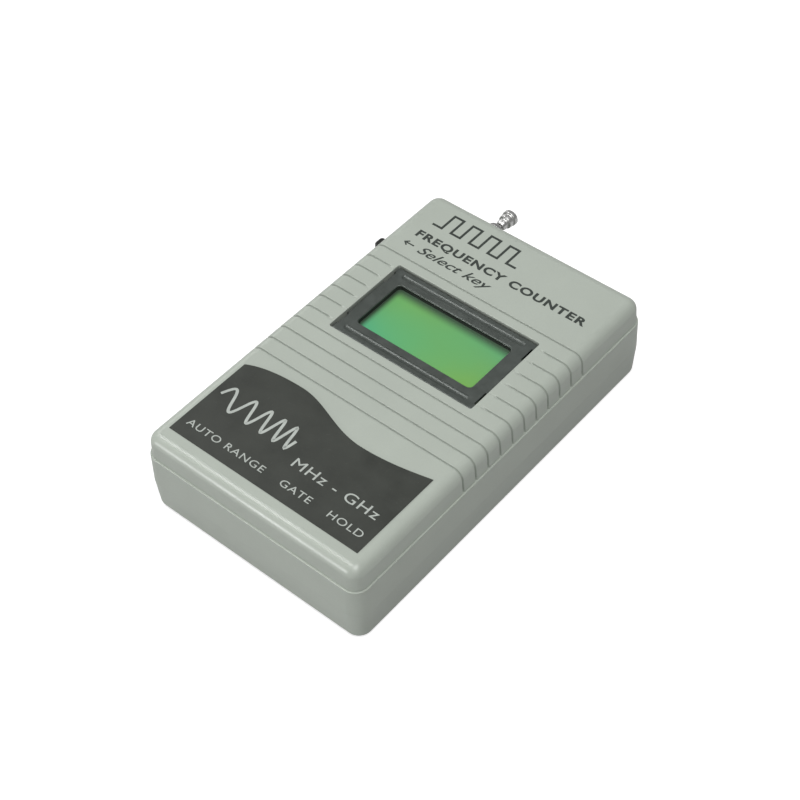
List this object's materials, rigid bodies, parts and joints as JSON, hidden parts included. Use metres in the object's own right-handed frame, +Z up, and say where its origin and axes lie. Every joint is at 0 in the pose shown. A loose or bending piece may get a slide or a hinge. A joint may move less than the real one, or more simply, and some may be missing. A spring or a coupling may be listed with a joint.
{
  "type": "frequency counter",
  "caption": "Pocket frequency counter: two-shell plastic case with a character display, a side multi-way key, a telescopic whip and a battery bay with a hinged door.",
  "frame": {"origin": "middle of the case's flat underside", "axes": "+Z up out of the display face, +Y along the case's length towards the end where the whip comes out, +X to the right as the display is read; the multi-way key is on the -X side"},
  "size_m": [0.0734, 0.1251, 0.0262],
  "materials": {
    "case_plastic": "fine satin moulded ABS, grey-green",
    "label_film": "satin printed polyester film, dark grey",
    "bezel_metal": "black-painted pressed steel",
    "display_glass": "yellow-green character display glass",
    "diffuser": "milky light guide",
    "circuit_board": "green solder mask on glass-fibre board",
    "chip_plastic": "black moulded epoxy",
    "silicone": "layered conductive rubber",
    "chrome": "bright nickel-chrome plate",
    "brass": "plain brass",
    "steel": "zinc-plated steel",
    "black_plastic": "black moulded plastic",
    "battery_wrap": "printed steel jacket, dark",
    "capacitor_sleeve": "dark blue shrink sleeve",
    "red_insulation": "red PVC insulation",
    "black_insulation": "black PVC insulation"
  },
  "bodies": {
    "case": {"top_shell": "case_plastic", "bottom_shell": "case_plastic", "front_label": "label_film", "display_bezel": "bezel_metal", "display_glass": "display_glass", "display_backlight": "diffuser", "display_board": "circuit_board", "display_contact_strip_near": "silicone", "display_contact_strip_far": "silicone", "display_driver_blob": "chip_plastic", "display_connector": "black_plastic", "main_board": "circuit_board", "microcontroller": "chip_plastic", "prescaler": "chip_plastic", "input_amplifier": "chip_plastic", "crystal": "steel", "supply_capacitor": "capacitor_sleeve", "output_capacitor": "capacitor_sleeve", "voltage_regulator": "chip_plastic", "battery": "battery_wrap", "battery_snap": "black_plastic", "red_battery_lead": "red_insulation", "black_battery_lead": "black_insulation", "whip_base_tube": "chrome", "whip_bushing": "chrome", "whip_nut": "brass", "whip_bracket": "brass", "whip_lead": "red_insulation", "key_switch_body": "black_plastic", "case_screw_1": "steel", "board_screw_1": "steel", "display_screw_1": "steel", "case_screw_2": "steel", "board_screw_2": "steel", "display_screw_2": "steel", "case_screw_3": "steel", "board_screw_3": "steel", "display_screw_3": "steel", "case_screw_4": "steel", "board_screw_4": "steel", "display_screw_4": "steel"},
    "battery_door": {"battery_door": "case_plastic"},
    "whip_middle_section": {"whip_middle_tube": "chrome"},
    "whip_slim_section": {"whip_slim_tube": "chrome"},
    "whip_tip": {"whip_rod": "chrome", "whip_knob": "chrome"},
    "key_plunger": {"key_plunger": "black_plastic"},
    "key_lever": {"key_lever": "black_plastic"}
  },
  "joints": [
    {"name": "battery_door_hinge", "type": "hinge", "parent": "case", "child": "battery_door", "pos_m": [-0.02675, -0.04155, 0], "axis": [0, 1, 0], "range_deg": [0, 95]},
    {"name": "whip_middle_slide", "type": "slide", "parent": "case", "child": "whip_middle_section", "axis": [0, 1, 0], "range_m": [0, 0.022]},
    {"name": "whip_slim_slide", "type": "slide", "parent": "whip_middle_section", "child": "whip_slim_section", "axis": [0, 1, 0], "range_m": [0, 0.022]},
    {"name": "whip_tip_slide", "type": "slide", "parent": "whip_slim_section", "child": "whip_tip", "axis": [0, 1, 0], "range_m": [0, 0.022]},
    {"name": "key_press", "type": "slide", "parent": "case", "child": "key_plunger", "axis": [1, 0, 0], "range_m": [0, 0.0006], "stiffness_N_per_m": 800},
    {"name": "key_rock", "type": "hinge", "parent": "key_plunger", "child": "key_lever", "pos_m": [-0.0312, 0.03495, 0.0208], "axis": [0, 0, 1], "range_deg": [-9, 9], "stiffness_Nm_per_rad": 0.02}
  ]
}
